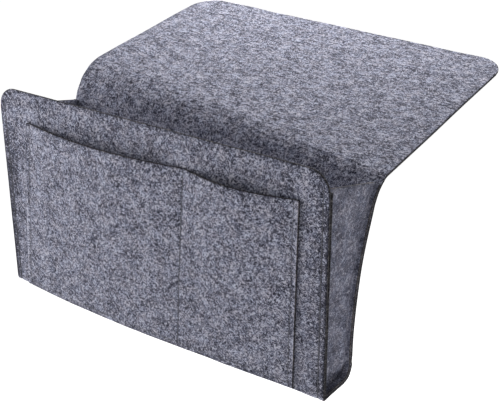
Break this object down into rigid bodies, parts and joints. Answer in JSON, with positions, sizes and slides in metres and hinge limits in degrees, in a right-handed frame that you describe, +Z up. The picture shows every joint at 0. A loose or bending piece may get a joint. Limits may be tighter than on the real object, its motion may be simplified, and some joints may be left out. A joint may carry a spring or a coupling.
{
  "type": "bedside caddy",
  "caption": "Felt pocket that hangs from a bed by a flap under the mattress, with gusseted sides and a divided patch pocket.",
  "frame": {"origin": "middle of the mattress flap's underside", "axes": "+X across the caddy to the right seen from its front, +Y back over the bed base and away from the pocket, +Z up"},
  "size_m": [0.3203, 0.2957, 0.2019],
  "materials": {
    "felt": "matte wool felt, mid grey mottled with lighter and darker fibres",
    "thread": "matte dark grey sewing thread"
  },
  "bodies": {
    "flap": {"mattress_flap": "felt"},
    "pocket": {"pocket_sheet": "felt", "left_gusset": "felt", "right_gusset": "felt", "patch_pocket": "felt", "left_gusset_needle_thread": "thread", "left_gusset_bobbin_thread": "thread", "right_gusset_needle_thread": "thread", "right_gusset_bobbin_thread": "thread", "patch_needle_thread": "thread", "patch_bobbin_thread": "thread", "divider_needle_thread": "thread", "divider_bobbin_thread": "thread"}
  },
  "joints": [
    {"name": "fold", "type": "hinge", "parent": "flap", "child": "pocket", "pos_m": [0.00006, -0.10152, -0.01855], "axis": [0.9959, -0.0747, -0.0506], "range_deg": [-140, 98]}
  ]
}
